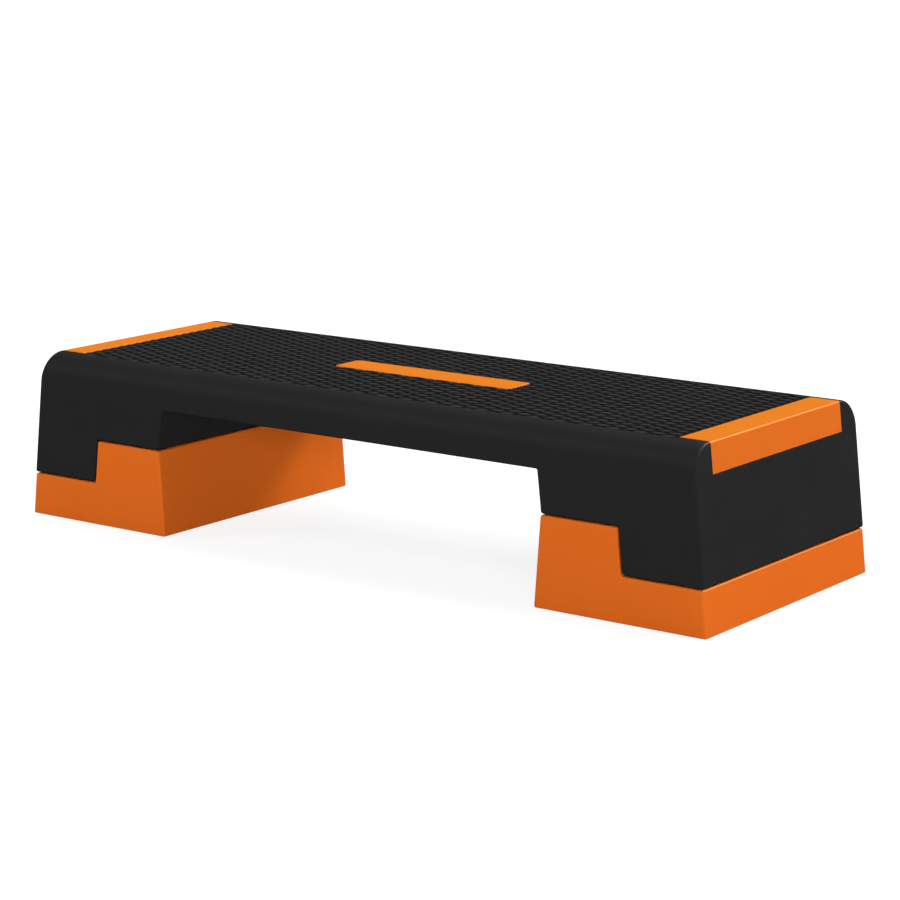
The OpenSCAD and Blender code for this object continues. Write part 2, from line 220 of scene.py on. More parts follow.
class StepFinishes(bpy.types.PropertyGroup):
    """Colours of the finishes and of the floor. Two are painted light: shade in the tread's
    grooves, and a paler orange on the trim's top
    """
    deck: colour("Deck plastic", "Black plastic of the deck", (0.0138, 0.0138, 0.0138))
    tread: colour("Tread rubber", "Rubber of the tread's pads", (0.0268, 0.0268, 0.027))
    # painted shade: the near-black colour that stands for the shade in the tread's grooves
    tread_groove: colour("Tread groove shade", "Painted shade in the grooves", (0.001, 0.001, 0.001))
    tread_gloss: level("Tread gloss", "Share of light that the tread mirrors", 0.003)
    tread_polish: level("Tread polish", "Roughness of the tread's sheen", 0.45)
    trim: colour("Trim plastic", "Orange of the strips' end faces", (0.672, 0.141, 0.015))
    # painted light: a paler, yellower orange on the trim's top than on its end faces, for
    # the stronger light that falls on top
    trim_top: colour("Trim top light", "Painted light: paler orange on top of the trim", (0.658, 0.180, 0.015))
    riser: colour("Riser plastic", "Orange plastic of the risers", (0.705, 0.138, 0.014))
    orange_shine: colour("Orange shine", "Colour that the orange mirrors", (1.0, 0.7, 0.25))
    feet: colour("Foot rubber", "Dark rubber of the feet", (0.020, 0.020, 0.021))
    floor: colour("Floor", "Pale floor of the studio", (0.46, 0.46, 0.46))


def with_lamps(kind):
    """Gives a property group each lamp's strength, direction and apparent size"""
    for name, (place, strength, azimuth, elevation, spread) in LAMPS.items():
        kind.__annotations__[name] = level(f"{name.capitalize()} lamp",
                                           f"Strength of the {place}", strength)
        for value, what, degrees in (("azimuth", "Direction, from the front,", azimuth),
                                     ("elevation", "Angle above the floor,", elevation),
                                     ("spread", "Apparent size", spread)):
            kind.__annotations__[f"{name}_{value}"] = angle(
                f"{name.capitalize()} {value}", f"{what} of the {name} lamp", degrees)
    return kind


@with_lamps
class StepStage(bpy.types.PropertyGroup):
    """The camera, the lamps and the room"""
    camera_place: bpy.props.FloatVectorProperty(
        name="Camera place", description="Where the camera stands", subtype="TRANSLATION",
        unit="LENGTH", default=(1.87337, -2.4984, 0.7695))
    camera_turn: bpy.props.FloatVectorProperty(
        name="Camera turn", description="How the camera is turned", subtype="EULER",
        default=[math.radians(a) for a in (78.0784, -0.01, 36.4673)])
    lens: bpy.props.FloatProperty(
        name="Lens", description="Focal length for a 36 mm sensor", default=109.626,
        min=1, unit="CAMERA")
    room: level("Room light", "Level of the light from all round", 0.2)
    floor_glow: level("Floor glow", "How much the floor is lit up in the picture", 0.85)


class StepPlatform(bpy.types.PropertyGroup):
    """Everything that a user can change"""
    body: pointer(StepPlatformSizes, "Platform")
    deck: pointer(StepDeckSizes, "Deck")
    riser: pointer(StepRiserSizes, "Risers")
    tread: pointer(StepTreadSizes, "Tread")
    trim: pointer(StepTrimSizes, "Trim")
    foot: pointer(StepFootSizes, "Feet")
    finish: pointer(StepFinishes, "Finishes")
    stage: pointer(StepStage, "Stage")


# Where the faces stand
class Faces:
    """Places of the leaning faces at a height z, on the right half of the platform, and the
    heights and radii that follow from the sizes that a user sets"""

    def __init__(self, step):
        self.body, self.deck, self.riser = step.body, step.deck, step.riser
        body, riser, foot = step.body, step.riser, step.foot
        self.rim_low = riser.low + body.seat_gap
        self.rim_high = riser.tall + body.seat_gap
        self.arch = body.height - step.deck.skirt_depth
        self.trim_floor = body.height - step.trim.thickness
        self.riser_middle = (body.length - riser.length) / 2
        # the middle and height of each of a riser's two tops, where its sockets lie
        offset = riser.length / 4
        self.tops = ((self.riser_middle - offset, riser.tall),
                     (self.riser_middle + offset, riser.low))
        # the heights between which a leg nests in a riser, and its edges' radius there
        self.nested = (riser.low - CUT, self.rim_high + CUT, riser.step_edge)
        # the height at which a foot's pad meets its tube, and the radii of bore and tube
        self.deck_seat = self.rim_low + foot.sink
        self.riser_seat = riser.stand + foot.sink
        self.bore = foot.stem_diameter / 2 + foot.stem_clearance
        self.tube = self.bore + foot.tube_wall

    def end(self, z):
        return self.body.length / 2 - z * math.tan(self.body.end_lean)

    def deck_end(self, z):
        return self.end(z) + self.deck.end_overhang

    def side(self, z):
        return self.body.width / 2 - z * math.tan(self.body.side_lean)

    def riser_inner(self, z):
        foot = self.body.length / 2 - self.riser.length
        return foot + z * math.tan(self.riser.inner_lean)

    def riser_step(self, z):
        half_way = (self.riser.low + self.riser.tall) / 2
        middle = self.riser_middle - self.riser.step_shift
        return middle + (half_way - z) * math.tan(self.riser.step_lean)

    def leg_step(self, z):
        return self.riser_step(z) + self.body.step_gap

    def leg_inner(self, z):
        foot = self.riser_inner(self.riser.tall) + self.deck.leg_setback
        return foot - (z - self.rim_high) * math.tan(self.deck.arch_lean)


# Outlines and solids
def rounded(corners, steps=CORNER_STEPS):
    """The points of a closed outline whose corners, (u, v, radius), are rounded"""
    points = []
    for number, (u, v, radius) in enumerate(corners):
        here = Vector((u, v))
        if not radius:
            points.append((u, v))
            continue
        before = (Vector(corners[number - 1][:2]) - here).normalized()
        after = (Vector(corners[(number + 1) % len(corners)][:2]) - here).normalized()
        half = before.angle(after) / 2
        centre = here + (before + after).normalized() * (radius / math.sin(half))
        first = here + before * (radius / math.tan(half)) - centre
        start = math.atan2(first.y, first.x)
        turn = math.copysign(math.pi - 2 * half, after.x * before.y - after.y * before.x)
        for step in range(steps + 1):
            way = start + turn * step / steps
            points.append((centre.x + radius * math.cos(way),
                           centre.y + radius * math.sin(way)))
    return points


def mirrored(corners):
    """The same corners on the other side of u = 0, in the order that closes the outline"""
    return [(-u, *rest) for u, *rest in reversed(corners)]


def box_outline(x, y):
    """The corners of a rectangle that reaches to x and y, on both sides of the middle"""
    return [(x, y), (-x, y), (-x, -y), (x, -y)]


def quarter_round(radius, steps):
    """Points across a rounded edge, as their setbacks from its upright and level faces"""
    ways = [math.pi / 2 * i / steps for i in range(steps + 1)]
    return [(radius * (1 - math.sin(way)), radius * (1 - math.cos(way))) for way in ways]


def spanned(points, cap, skin, kinds=None):
    """A shape, as points and faces, from two loops of points that follow each other. cap
    and skin name the faces at and between the loops, and kinds renames some by number."""
    size = len(points) // 2
    faces = [(cap, range(size)), (cap, range(2 * size - 1, size - 1, -1))]
    for i in range(size):
        j = (i + 1) % size
        faces.append(((kinds or {}).get(i, skin), (i, j, size + j, size + i)))
    return points, faces


def across(outline, half_width, kinds=None, middle=0):
    """An outline in X and Z, carried out to half_width(z) on both sides of y = middle"""
    points = [(x, side * half_width(z) + middle, z) for side in (-1, 1) for x, z in outline]
    return spanned(points, "side", "lap", kinds)


def along(section, start, end):
    """A section in Y and Z, carried from x = start(z) to end(z)"""
    return spanned([(x(z), y, z) for x in (start, end) for y, z in section], "end", "skin")


def upright(outline, low, high):
    """An outline in X and Y, carried up from z = low to high"""
    return spanned([(x, y, z) for z in (low, high) for x, y in outline], "end", "skin")


def steady(value):
    """A place that is the same at every height"""
    return lambda z: value


def circle(x, y, radius):
    turns = [math.tau * i / TURN_STEPS for i in range(TURN_STEPS)]
    return [(x + radius * math.cos(turn), y + radius * math.sin(turn)) for turn in turns]


def placed(name, data):
    """A new object in the scene"""
    made = bpy.data.objects.new(name, data)
    bpy.context.scene.collection.objects.link(made)
    return made


def formed(name, form):
    """A new object in the scene, with the mesh that a form holds"""
    mesh = bpy.data.meshes.new(name)
    form.to_mesh(mesh)
    form.free()
    return placed(name, mesh)


def solid(name, shape, radii=None, segments=EDGE_STEPS, upright_radius=0, nested=None):
    """An object from points and faces, with the sharp edges between two kinds of face
    rounded to the radius that radii gives for the pair. The steeper an edge, the nearer its
    radius comes to upright_radius, where that is given. For the edges that lie between the
    first two values of nested, which are heights, it comes nearer to the third."""
    points, faces = shape
    form = bmesh.new()
    corners = [form.verts.new(point) for point in points]
    kinds = {}
    for kind, numbers in faces:
        kinds[form.faces.new([corners[n] for n in numbers])] = kind
    bmesh.ops.recalc_face_normals(form, faces=form.faces)
    weight = form.edges.layers.float.new("bevel_weight_edge")
    widest = max(*radii.values(), upright_radius) if radii else 1
    for edge in form.edges:
        pair = tuple(sorted(kinds[face] for face in edge.link_faces))
        if radii and edge.calc_face_angle_signed() > SHARP:
            radius = radii.get(pair, 0)
            low, high = sorted(vert.co.z for vert in edge.verts)
            if upright_radius:
                inside = nested[0] < low and high < nested[1]
                aim = nested[2] if inside else upright_radius
                radius += (aim - radius) * (high - low) / edge.calc_length()
            edge[weight] = radius / widest
    piece = formed(name, form)
    if radii:
        bevel = piece.modifiers.new("rounded edges", "BEVEL")
        bevel.limit_method, bevel.width, bevel.segments = "WEIGHT", widest, segments
        bevel.use_clamp_overlap = False
        settle(piece)
    return piece


def settle(piece):
    """Applies a piece's modifiers to its mesh"""
    bpy.context.view_layer.update()
    graph = bpy.context.evaluated_depsgraph_get()
    made = bpy.data.meshes.new_from_object(piece.evaluated_get(graph))
    before = piece.data
    piece.modifiers.clear()
    piece.data = made
    bpy.data.meshes.remove(before)
    made.name = piece.name


def combine(piece, operation, parts):
    """Adds solids to a piece, or cuts them out of it, and uses them up"""
    group = bpy.data.collections.new(operation)
    for part in parts:
        group.objects.link(part)
    change = piece.modifiers.new(operation, "BOOLEAN")
    change.operation, change.solver = operation, "MANIFOLD"
    change.operand_type, change.collection = "COLLECTION", group
    settle(piece)
    for part in parts:
        bpy.data.meshes.remove(part.data)
    bpy.data.collections.remove(group)


def finished(piece, material, body, slot, *nodes):
    """Shades a piece, checks that it is closed, gives it its finish and lets it ride"""
    form = bmesh.new()
    form.from_mesh(piece.data)
    bmesh.ops.remove_doubles(form, verts=form.verts, dist=WELD)
    bmesh.ops.dissolve_degenerate(form, edges=form.edges, dist=WELD)
    open_edges = sum(not edge.is_manifold for edge in form.edges)
    form.to_mesh(piece.data)
    form.free()
    if open_edges:
        raise RuntimeError(f"{piece.name} has {open_edges} edges that aren't closed")
    piece.data.shade_smooth()
    piece.data.set_sharp_from_angle(angle=SHARP)
    normals = piece.modifiers.new("even shading", "WEIGHTED_NORMAL")
    normals.keep_sharp = True
    settle(piece)
    piece.data.materials.clear()
    piece.data.materials.append(material)
    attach(piece, body)
    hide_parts(*nodes)


# Materials
FLOW_SCALE = 11  # features per metre in the faint flow of the moulding
SQUEEZE = (1.0, 1.6, 1.6)  # how much narrower the flow is along X, Y and Z
SPECK_SIZE = 3.7  # size of the specks, in grains
FLOW_TONE, SPECK_TONE, FINE_TONE = 0.6, 0.25, 0.15  # each one's share in the colour
FINE_BUMP, SPECK_BUMP = 0.65, 0.35  # each one's share in the bumps
FLOW_POLISH, FINE_POLISH = 0.10, 0.12  # how far each one varies the mirror's roughness
GLOSS_SWING = 0.3  # the share by which the flow varies the gloss
MATTE = 0.9  # roughness of the light that isn't mirrored
MIX_FIRST, MIX_SECOND, MIX_RESULT = 6, 7, 2  # the sockets of a Mix node for colours


class Wire:
    """A socket in a node tree. Sums and products of wires and numbers add Math nodes."""

    def __init__(self, tree, socket=None):
        self.tree, self.socket = tree, socket

    def node(self, kind, settings=None, inputs=None, output=0):
        """Adds a node, with its settings made first and then its sockets set or linked"""
        made = self.tree.nodes.new(kind)
        for name, value in (settings or {}).items():
            setattr(made, name, value)
        for name, value in (inputs or {}).items():
            if isinstance(value, Wire):
                self.tree.links.new(value.socket, made.inputs[name])
            else:
                made.inputs[name].default_value = value
        return Wire(self.tree, made.outputs[output] if made.outputs else None)

    def maths(self, operation, first, second):
        return self.node("ShaderNodeMath", {"operation": operation}, {0: first, 1: second})

    def __add__(self, other):
        return self.maths("ADD", self, other)

    def __radd__(self, other):
        return self.maths("ADD", other, self)

    def __sub__(self, other):
        return self.maths("SUBTRACT", self, other)

    def __rsub__(self, other):
        return self.maths("SUBTRACT", other, self)

    def __mul__(self, other):
        return self.maths("MULTIPLY", self, other)

    def __rmul__(self, other):
        return self.maths("MULTIPLY", other, self)

    def either(self, other):
        return self.maths("MAXIMUM", self, other)

    def held(self):
        """The value, kept between 0 and 1"""
        return self.node("ShaderNodeClamp", inputs={"Value": self})

    def blend(self, first, second):
        """The first colour where this mask is 0, the second where it is 1"""
        colours = {"Factor": self, MIX_FIRST: first, MIX_SECOND: second}
        return self.node("ShaderNodeMix", {"data_type": "RGBA"}, colours, MIX_RESULT)


def tinted(shade, amount=1):
    """A colour times an amount, with alpha"""
    return (*(min(1.0, channel * amount) for channel in shade), 1.0)


def blank_tree(owner):
    """Empties an owner's node tree, and returns it as a wire to build from"""
    owner.use_nodes = True
    owner.node_tree.nodes.clear()
    return Wire(owner.node_tree)


def mix_shaders(wire, share, first, second, output="ShaderNodeOutputMaterial"):
    """Shows the first shader where share is 0, and the second where it is 1"""
    mixed = wire.node("ShaderNodeMixShader", inputs={0: share, 1: first, 2: second})
    wire.node(output, inputs={"Surface": mixed})


def noise(wire, place, scale, detail, rough):
    """Noise from 0 to 1, with scale in features per metre"""
    return wire.node("ShaderNodeTexNoise", {"normalize": True}, {
        "Vector": place, "Scale": scale, "Detail": detail, "Roughness": rough})


def by_height(start, full):
    """A mask that is 0 at the height start, 1 at the height full, and level beyond them"""

    def mask(wire, place):
        height = wire.node("ShaderNodeSeparateXYZ", inputs={"Vector": place}, output="Z")
        return ((height - start) * (1 / (full - start))).held()

    return mask


def surface(name, shade, shine, gloss, polish, grain, depth, mottle,
            mask=None, second=None):
    """A moulded surface: fine grain that catches the light, and faint uneven flow below it.
    gloss is the share of light that the surface mirrors, shine that mirror's colour and
    polish its roughness. grain is in features per metre, depth is the grain's in metres,
    and mottle is the share by which the colour varies. Where mask is 1, the second colour
    takes the first's place: painted shade in the tread's grooves, and painted light on the
    trim's top."""
    material = bpy.data.materials.new(name)
    wire = blank_tree(material)
    place = wire.node("ShaderNodeTexCoord", output="Object")
    squeezed = wire.node("ShaderNodeMapping", inputs={"Vector": place, "Scale": SQUEEZE})
    flow = noise(wire, squeezed, FLOW_SCALE, detail=3.0, rough=0.55)
    fine = noise(wire, place, grain, detail=3.0, rough=0.6)
    speck = noise(wire, place, grain / SPECK_SIZE, detail=2.0, rough=0.5)
    tone = (FLOW_TONE * flow + SPECK_TONE * speck + FINE_TONE * fine).held()
    paint = tone.blend(tinted(shade, 1 - mottle), tinted(shade, 1 + mottle))
    # painted shade or painted light: the second colour takes over by height where mask is
    # given
    if mask:
        paint = mask(wire, place).blend(paint, tinted(second))
    bumps = FINE_BUMP * fine + SPECK_BUMP * speck
    normal = wire.node("ShaderNodeBump", inputs={"Height": bumps, "Distance": depth,
                                                 "Strength": 1.0})
    matte = wire.node("ShaderNodeBsdfPrincipled", inputs={
        "Base Color": paint, "Roughness": MATTE, "Specular IOR Level": 0.0,
        "Normal": normal})
    rough = polish + FLOW_POLISH * (flow - 0.5) + FINE_POLISH * (fine - 0.5)
    mirror = wire.node("ShaderNodeBsdfPrincipled", inputs={
        "Base Color": shine, "Metallic": 1.0, "Roughness": rough.held(), "Normal": normal})
    share = (gloss * (1 - GLOSS_SWING + 2 * GLOSS_SWING * flow)).held()
    mix_shaders(wire, share, matte, mirror)
    return material


def black_plastic(step):
    return surface("black moulded plastic", step.finish.deck, WHITE, gloss=0.0038,
                   polish=0.48, grain=2300, depth=0.000018, mottle=0.05)


def tread_rubber(step):
    top = step.body.height
    finish = step.finish
    # the pads' sides darken with depth below their tops, to near black in the grooves:
    # painted shade
    return surface("tread rubber", finish.tread, WHITE, finish.tread_gloss,
                   finish.tread_polish, grain=1500, depth=0.00003, mottle=0.07,
                   mask=by_height(top, top - step.tread.relief), second=finish.tread_groove)


def orange_trim(step):
    finish, edge = step.finish, step.trim.edge_radius
    face = step.body.height - edge / 2  # half way up the rounded edge
    # from half way up the rounded edge the colour turns to the paler top orange: painted
    # light on the trim's top
    return surface("orange trim plastic", finish.trim, tinted(finish.orange_shine),
                   gloss=0.006, polish=0.30, grain=2600, depth=0.000010, mottle=0.02,
                   mask=by_height(face, face + edge / 4), second=finish.trim_top)


def orange_plastic(step):
    finish = step.finish
    return surface("orange moulded plastic", finish.riser, tinted(finish.orange_shine),
                   gloss=0.006, polish=0.34, grain=2100, depth=0.000018, mottle=0.025)


def foot_rubber(step):
    return surface("foot rubber", step.finish.feet, WHITE, gloss=0.004, polish=0.6,
                   grain=1200, depth=0.00003, mottle=0.10)


# Shapes that the deck and the risers share
def feet(step, owner):
    """The feet of the deck or the right riser, as (x, y, height of the top above)"""
    middle, riser = Faces(step).riser_middle, step.riser
    places = [centre(node)[:2] for node in sorted(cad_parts)
              if node.startswith(f"{owner}_foot")]
    if owner == "deck":
        return [(x, y, step.body.height) for x, y in places]
    return [(x, y, riser.low if x > middle else riser.tall) for x, y in places]


def rods(name, places, radius, low, sink):
    """Round solids at places, as (x, y, top), from a height low to a sink below the top"""
    return [solid(name, upright(circle(x, y, radius), low, top - sink))
            for x, y, top in places]


def long_ribs(step, outline, number, wall):
    """Ribs along the platform in the shape of an outline, spread between two side walls"""
    half = step.deck.rib_thickness / 2
    pitch = (step.body.width - 2 * wall) / (number + 1)
    middles = [pitch * (i - (number - 1) / 2) for i in range(number)]
    return [solid("rib", across(outline, steady(half), middle=y)) for y in middles]


# The pieces
def deck_section(step, side, top, bottom, steps=CORNER_STEPS):
    """The deck's cross-section in Y and Z, drawn in from its side and top faces"""
    faces = Faces(step)
    high = step.body.height - top
    radius = step.deck.edge_radius - side
    right = [(faces.side(bottom) - side, bottom, 0),
             (faces.side(high) - side, high, radius)]
    return rounded(right + mirrored(right), steps)


def under_deck(step):
    """The deck's underside from the right end to the left, as points in X and Z"""
    faces, deck = Faces(step), step.deck
    right = [(faces.deck_end(faces.rim_low), faces.rim_low, 0),
             (faces.leg_step(faces.rim_low), faces.rim_low, step.riser.step_radius),
             (faces.leg_step(faces.rim_high), faces.rim_high, step.riser.step_edge),
             (faces.leg_inner(faces.rim_high), faces.rim_high, 0),
             (faces.leg_inner(faces.arch), faces.arch, deck.arch_radius)]
    return rounded(right + mirrored(right))


def deck_outside(step):
    """The deck as a solid block, with its arch and the stepped feet of its legs"""
    faces, deck = Faces(step), step.deck
    section = deck_section(step, 0, 0, faces.rim_low, LONG_EDGE_STEPS)
    size, last = len(section), len(section) - 1
    points = [(end * faces.deck_end(z), y, z) for end in (1, -1) for y, z in section]
    under = under_deck(step)
    rims = []
    for side, corner in ((1, 0), (-1, last)):
        rim = [corner]
        for x, z in under[1:-1]:
            rim.append(len(points))
            points.append((x, side * faces.side(z), z))
        rims.append(rim + [size + corner])
    # both ends, the top with its long rounded edges, the two sides, then the underside
    made = [("end", range(size)), ("end", range(2 * size - 1, size - 1, -1))]
    made += [("skin", (i, i + 1, size + i + 1, size + i)) for i in range(1, last - 1)]
    made.append(("skin", [*rims[0], size + 1, 1]))
    made.append(("skin", [*rims[1], size + last - 1, last - 1]))
    made += [("under", (rims[0][i], rims[0][i + 1], rims[1][i + 1], rims[1][i]))
             for i in range(len(rims[0]) - 1)]
    radii = {("end", "skin"): deck.fold_radius, ("end", "under"): deck.rim_radius,
             ("skin", "under"): deck.rim_radius, ("under", "under"): deck.rim_radius}
    return solid("step_deck_shell", (points, made), radii,
                 upright_radius=deck.upright_radius, nested=faces.nested)


def deck_rooms(step):
    """The hollows between the deck's walls, which are open below"""
    faces, deck = Faces(step), step.deck

    def room(bottom, start, end):
        section = deck_section(step, deck.wall, deck.top_wall, bottom)
        return solid("room", along(section, start, end))

    rooms = [room(faces.arch - deck.wall, lambda z: -faces.leg_inner(z) - SKIM,
                  lambda z: faces.leg_inner(z) + SKIM)]
    for end in (1, -1):
        rooms.append(room(faces.rim_high - deck.wall,
                          lambda z: end * (faces.leg_inner(z) + deck.wall),
                          lambda z: end * (faces.leg_step(z) + SKIM)))
        rooms.append(room(faces.rim_low - CUT,
                          lambda z: end * (faces.leg_step(z) + deck.wall),
                          lambda z: end * (faces.deck_end(z) - deck.wall)))
    return rooms


def deck_ribs(step):
    """The ribs under the deck, and the tubes that hold its feet"""
    faces, deck = Faces(step), step.deck
    half = deck.rib_thickness / 2
    into_wall, into_top = deck.wall / 2, deck.top_wall / 2
    pitch = 2 * faces.leg_inner(step.body.height) / (deck.span_ribs + 1)
    places = [(pitch * (i - (deck.span_ribs - 1) / 2), faces.arch)
              for i in range(deck.span_ribs)]
    places += [(end * x, top + step.body.seat_gap)
               for end in (1, -1) for x, top in faces.tops]
    ribs = []
    for x, rim in places:
        section = deck_section(step, into_wall, into_top, rim + deck.rib_setback)
        ribs.append(solid("rib", along(section, steady(x - half), steady(x + half))))
    high = step.body.height - into_top
    under = [(x, z + deck.rib_setback) for x, z in under_deck(step)[1:-1]]
    low = faces.rim_low + deck.rib_setback
    low_end, high_end = faces.deck_end(low) - into_wall, faces.deck_end(high) - into_wall
    outline = [(-low_end, low), (-high_end, high), (high_end, high), (low_end, low), *under]
    ribs += long_ribs(step, outline, deck.long_ribs, deck.wall)
    return ribs + rods("tube", feet(step, "deck"), faces.tube, faces.deck_seat, into_top)


def deck_cuts(step):
    """The recess for the tread and the strips, and the bores for the feet"""
    faces, gap = Faces(step), step.trim.clearance
    cuts = [mat_block(step, gap), *(strip(step, "recess", end, gap) for end in (1, -1))]
    return cuts + rods("bore", feet(step, "deck"), faces.bore, faces.deck_seat - CUT,
                       step.deck.top_wall)


def strip_outline(step, gap):
    """A right end strip in X and Z, or with a gap the recess that it lies in"""
    faces, fold = Faces(step), step.deck.fold_radius
    inner = reach("right_end_strip", 0)
    start, low, high = inner.x - gap, inner.z - gap, step.body.height
    back = step.trim.thickness
    if gap:
        clear = faces.deck_end(0) + CUT
        outside = [(start, high + CUT), (clear, high + CUT), (clear, low)]
    else:
        bend = [(faces.deck_end(high - drop) - inward, high - drop)
                for inward, drop in quarter_round(fold, CORNER_STEPS)]
        outside = [(start, high), *bend, (faces.deck_end(low), low)]
    return outside + [(faces.deck_end(low) - back, low),
                      (faces.deck_end(faces.trim_floor) - back, faces.trim_floor),
                      (start, faces.trim_floor)]


def strip(step, name, end, gap=0, radii=None):
    """An end strip, or with a gap its recess, at the right end (1) or the left one (-1)"""
    outline = [(end * x, z) for x, z in strip_outline(step, gap)]
    width = reach("right_end_strip", 1).y + gap
    return solid(name, across(outline, steady(width)), radii, TRIM_STEPS)


def mat_block(step, gap=0):
    """A block for the tread mat, or with a gap for the recess that it lies in"""
    size = reach("tread_mat", 1)
    outline = box_outline(size.x + gap, size.y + gap)
    return solid("mat", upright(outline, Faces(step).trim_floor, step.body.height + CUT))


def pad_ring(tip, shoulder, half, inset):
    """A pad's six corners, drawn in by an inset on all sides"""
    run = tip - shoulder
    slant = math.hypot(run, half)
    new_tip = tip - inset * slant / half
    new_half = half - inset
    new_shoulder = shoulder - inset * (slant - run) / half
    return [(new_tip, 0), (new_shoulder, new_half), (-new_shoulder, new_half),
            (-new_tip, 0), (-new_shoulder, -new_half), (new_shoulder, -new_half)]


def tread_sheet(step):
    """A closed sheet of long six-sided pads, in staggered columns, larger than the mat"""
    tread, faces = step.tread, Faces(step)
    half = tread.pitch / 2
    shoulder = tread.column - tread.tip
    top = step.body.height
    low = top - tread.relief
    rings = [(0, low), (tread.groove, low),
             (tread.groove + tread.slope, top - tread.crown),
             (tread.groove + tread.slope + tread.round_over, top)]
    size = reach("tread_mat", 1)
    columns = math.ceil(size.x / tread.column) + 1
    rows = math.ceil(size.y / tread.pitch) + 1
    form = bmesh.new()
    shared = {}

    def corner(x, y, z, share):
        """A new point, or with share the one that a pad beside this one has made there"""
        key = (round(x * MICRONS), round(y * MICRONS))
        if share and key in shared:
            return shared[key]
        made = form.verts.new((x, y, z))
        if share:
            shared[key] = made
        return made

    for column in range(-columns, columns + 1):
        stagger = 0 if column % 2 else half
        for row in range(-rows, rows + 1):
            x, y = column * tread.column, row * tread.pitch + stagger
            loops = [[corner(x + u, y + v, z, number == 0)
                      for u, v in pad_ring(tread.tip, shoulder, half, inset)]
                     for number, (inset, z) in enumerate(rings)]
            for outer, inner in zip(loops, loops[1:]):
                for i in range(len(outer)):
                    j = (i + 1) % len(outer)
                    form.faces.new((outer[i], outer[j], inner[j], inner[i]))
            form.faces.new(loops[-1])
    # walls down from the sheet's edge, and a bottom
    rim = [edge for edge in form.edges if edge.is_boundary]
    walls = bmesh.ops.extrude_edge_only(form, edges=rim)["geom"]
    lower = [item for item in walls if isinstance(item, bmesh.types.BMVert)]
    for vert in lower:
        vert.co.z = faces.trim_floor - CUT
    rim = [edge for edge in form.edges if edge.is_boundary]
    bmesh.ops.holes_fill(form, edges=rim)
    bmesh.ops.recalc_face_normals(form, faces=form.faces)
    return formed("step_tread_mat", form)


def inlay_outline(step, grow):
    """The centre inlay in X and Y, or with a growth the window that it lies in"""
    size = reach("centre_inlay", 1)
    corners = box_outline(size.x + grow, size.y + grow)
    return rounded([(x, y, step.trim.inlay_radius + grow) for x, y in corners])


def riser_outline(step, inset, bottom):
    """The right riser in X and Z, drawn in from its faces and cut off level"""
    faces, riser = Faces(step), step.riser
    tall, low = riser.tall - inset, riser.low - inset
    foot = 0 if inset else riser.step_radius
    return [(faces.riser_inner(bottom) + inset, bottom, 0),
            (faces.riser_inner(tall) + inset, tall, 0),
            (faces.riser_step(tall) - inset, tall, 0),
            (faces.riser_step(low) - inset, low, foot),
            (faces.end(low) - inset, low, 0),
            (faces.end(bottom) - inset, bottom, 0)]


def sockets(step):
    """The sockets in a right riser's tops, as (x, y, height of the top)"""
    y = centre("deck_foot_back_right").y
    return [(x, side * y, top) for side in (-1, 1) for x, top in Faces(step).tops]


def socket_radius(step):
    low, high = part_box("deck_foot_back_right")
    return (high.x - low.x) / 2 + step.riser.socket_room


def riser_ribs(step):
    """The ribs, socket cups and foot tubes inside a right riser"""
    faces, riser, deck = Faces(step), step.riser, step.deck
    base = riser.stand + deck.rib_setback
    into = riser.wall / 2
    half = deck.rib_thickness / 2
    reach_out = faces.side(riser.tall) - into
    outline = rounded(riser_outline(step, into, base))
    ribs = long_ribs(step, outline, RISER_RIBS, riser.wall)
    foot_of_step = faces.riser_step(riser.low)
    walls = [(foot_of_step - riser.wall, foot_of_step, riser.low)]
    walls += [(x - half, x + half, top) for x, top in faces.tops]
    for start, end, top in walls:
        high = top - into
        section = [(reach_out, base), (reach_out, high), (-reach_out, high),
                   (-reach_out, base)]
        ribs.append(solid("rib", along(section, steady(start), steady(end))))
    for x, y, top in sockets(step):
        ring = circle(x, y, socket_radius(step) + riser.wall)
        low = top - riser.socket_depth - riser.wall
        ribs.append(solid("cup", upright(ring, low, top - into)))
    return ribs + rods("tube", feet(step, "right_riser"), faces.tube, faces.riser_seat,
                       into)


def riser_cuts(step):
    """The sockets in a right riser's tops, and the bores for its feet"""
    faces, riser = Faces(step), step.riser
    cuts = []
    for x, y, top in sockets(step):
        ring = circle(x, y, socket_radius(step))
        cuts.append(solid("socket", upright(ring, top - riser.socket_depth, top + CUT)))
    return cuts + rods("bore", feet(step, "right_riser"), faces.bore,
                       faces.riser_seat - CUT, riser.wall)


def riser_shell(step, side):
    """One riser: a stepped, hollow block, turned end for end on the left"""
    faces, riser = Faces(step), step.riser
    radii = {("lap", "side"): riser.edge_radius, ("lap", "lap"): riser.edge_radius,
             ("side", "step"): riser.edge_radius, ("lap", "step"): riser.step_edge,
             ("lap", "rim"): riser.rim_radius, ("rim", "side"): riser.rim_radius}
    outside = rounded(riser_outline(step, 0, riser.stand))
    kinds = {RISER_STEP: "step", len(outside) - 1: "rim"}
    piece = solid(f"step_{side}_riser", across(outside, faces.side, kinds), radii,
                  upright_radius=riser.upright_radius, nested=faces.nested)
    inner = step.body.width / 2 - riser.wall
    room = rounded(riser_outline(step, riser.wall, riser.stand - CUT))
    combine(piece, "DIFFERENCE", [solid("room", across(room, steady(inner)))])
    combine(piece, "UNION", riser_ribs(step))
    combine(piece, "DIFFERENCE", riser_cuts(step))
    if side == "left":
        piece.data.transform(Matrix.Rotation(math.pi, 4, "Z"))
    return piece


